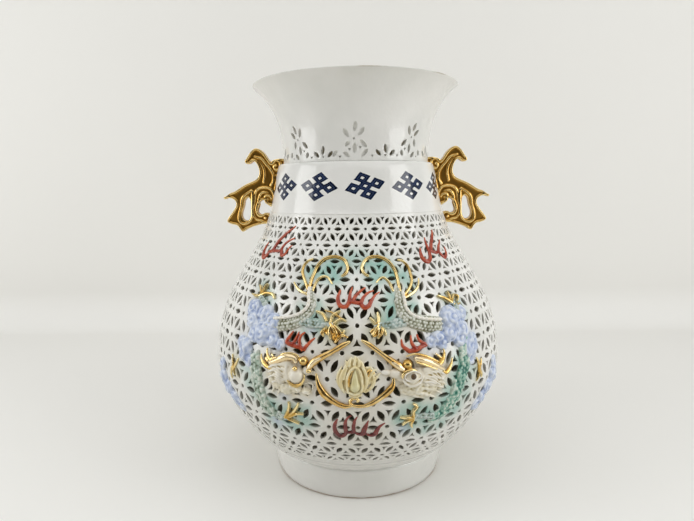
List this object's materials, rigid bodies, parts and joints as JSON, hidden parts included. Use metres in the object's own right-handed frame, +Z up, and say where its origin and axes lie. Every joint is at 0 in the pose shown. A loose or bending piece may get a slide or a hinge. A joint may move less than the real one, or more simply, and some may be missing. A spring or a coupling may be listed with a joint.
{
  "type": "double-walled vase",
  "caption": "Pear-shaped double-walled porcelain vase: pierced outer lattice over a smooth inner vessel, flared mouth, two gilt handles, moulded dragon relief.",
  "frame": {"origin": "centre of the standing ring, on the surface the vase stands on", "axes": "+Z up along the vase's axis, -Y towards the front with the pearl in its middle, handles along X"},
  "size_m": [0.2264, 0.239, 0.305],
  "materials": {
    "porcelain_glaze": "clear glossy glaze over white porcelain",
    "inner_glaze": "clear glaze over pale, slightly warm porcelain, seen only through the piercing and down the mouth",
    "gilding": "burnished gold lustre fired over the glaze",
    "ivory_enamel": "glossy ivory enamel with gold lines",
    "pearl_enamel": "glossy cream and yellow enamel, outlined in gold and orange",
    "scale_enamel": "thin grey-green enamel over moulded scales",
    "turquoise_enamel": "glossy green and turquoise enamel",
    "cloud_enamel": "glossy pale blue enamel",
    "flame_enamel": "glossy iron-red enamel"
  },
  "bodies": {
    "root": {"base": "porcelain_glaze", "inner_vessel": "inner_glaze", "lower_pierced_wall": "porcelain_glaze", "upper_pierced_wall": "porcelain_glaze", "collar": "porcelain_glaze", "mouth": "porcelain_glaze", "right_handle": "gilding", "left_handle": "gilding", "front_pearl": "pearl_enamel", "front_high_flame": "flame_enamel", "front_low_flame": "flame_enamel", "front_left_head": "ivory_enamel", "front_right_head": "ivory_enamel", "front_left_big_cloud": "cloud_enamel", "front_right_big_cloud": "cloud_enamel", "front_left_round_cloud": "cloud_enamel", "front_right_round_cloud": "cloud_enamel", "front_left_side_cloud": "cloud_enamel", "front_right_side_cloud": "cloud_enamel", "front_left_hind_leg": "gilding", "front_right_hind_leg": "gilding", "front_left_fore_leg": "gilding", "front_right_fore_leg": "gilding", "front_left_hind_body": "scale_enamel", "front_right_hind_body": "scale_enamel", "front_left_neck": "turquoise_enamel", "front_right_neck": "turquoise_enamel", "front_left_tail": "gilding", "front_right_tail": "gilding", "front_left_upper_flame": "flame_enamel", "front_right_upper_flame": "flame_enamel", "front_left_middle_flame": "flame_enamel", "front_right_middle_flame": "flame_enamel", "back_pearl": "pearl_enamel", "back_high_flame": "flame_enamel", "back_low_flame": "flame_enamel", "back_left_head": "ivory_enamel", "back_right_head": "ivory_enamel", "back_left_big_cloud": "cloud_enamel", "back_right_big_cloud": "cloud_enamel", "back_left_round_cloud": "cloud_enamel", "back_right_round_cloud": "cloud_enamel", "back_left_side_cloud": "cloud_enamel", "back_right_side_cloud": "cloud_enamel", "back_left_hind_leg": "gilding", "back_right_hind_leg": "gilding", "back_left_fore_leg": "gilding", "back_right_fore_leg": "gilding", "back_left_hind_body": "scale_enamel", "back_right_hind_body": "scale_enamel", "back_left_neck": "turquoise_enamel", "back_right_neck": "turquoise_enamel", "back_left_tail": "gilding", "back_right_tail": "gilding", "back_left_upper_flame": "flame_enamel", "back_right_upper_flame": "flame_enamel", "back_left_middle_flame": "flame_enamel", "back_right_middle_flame": "flame_enamel"}
  },
  "joints": []
}
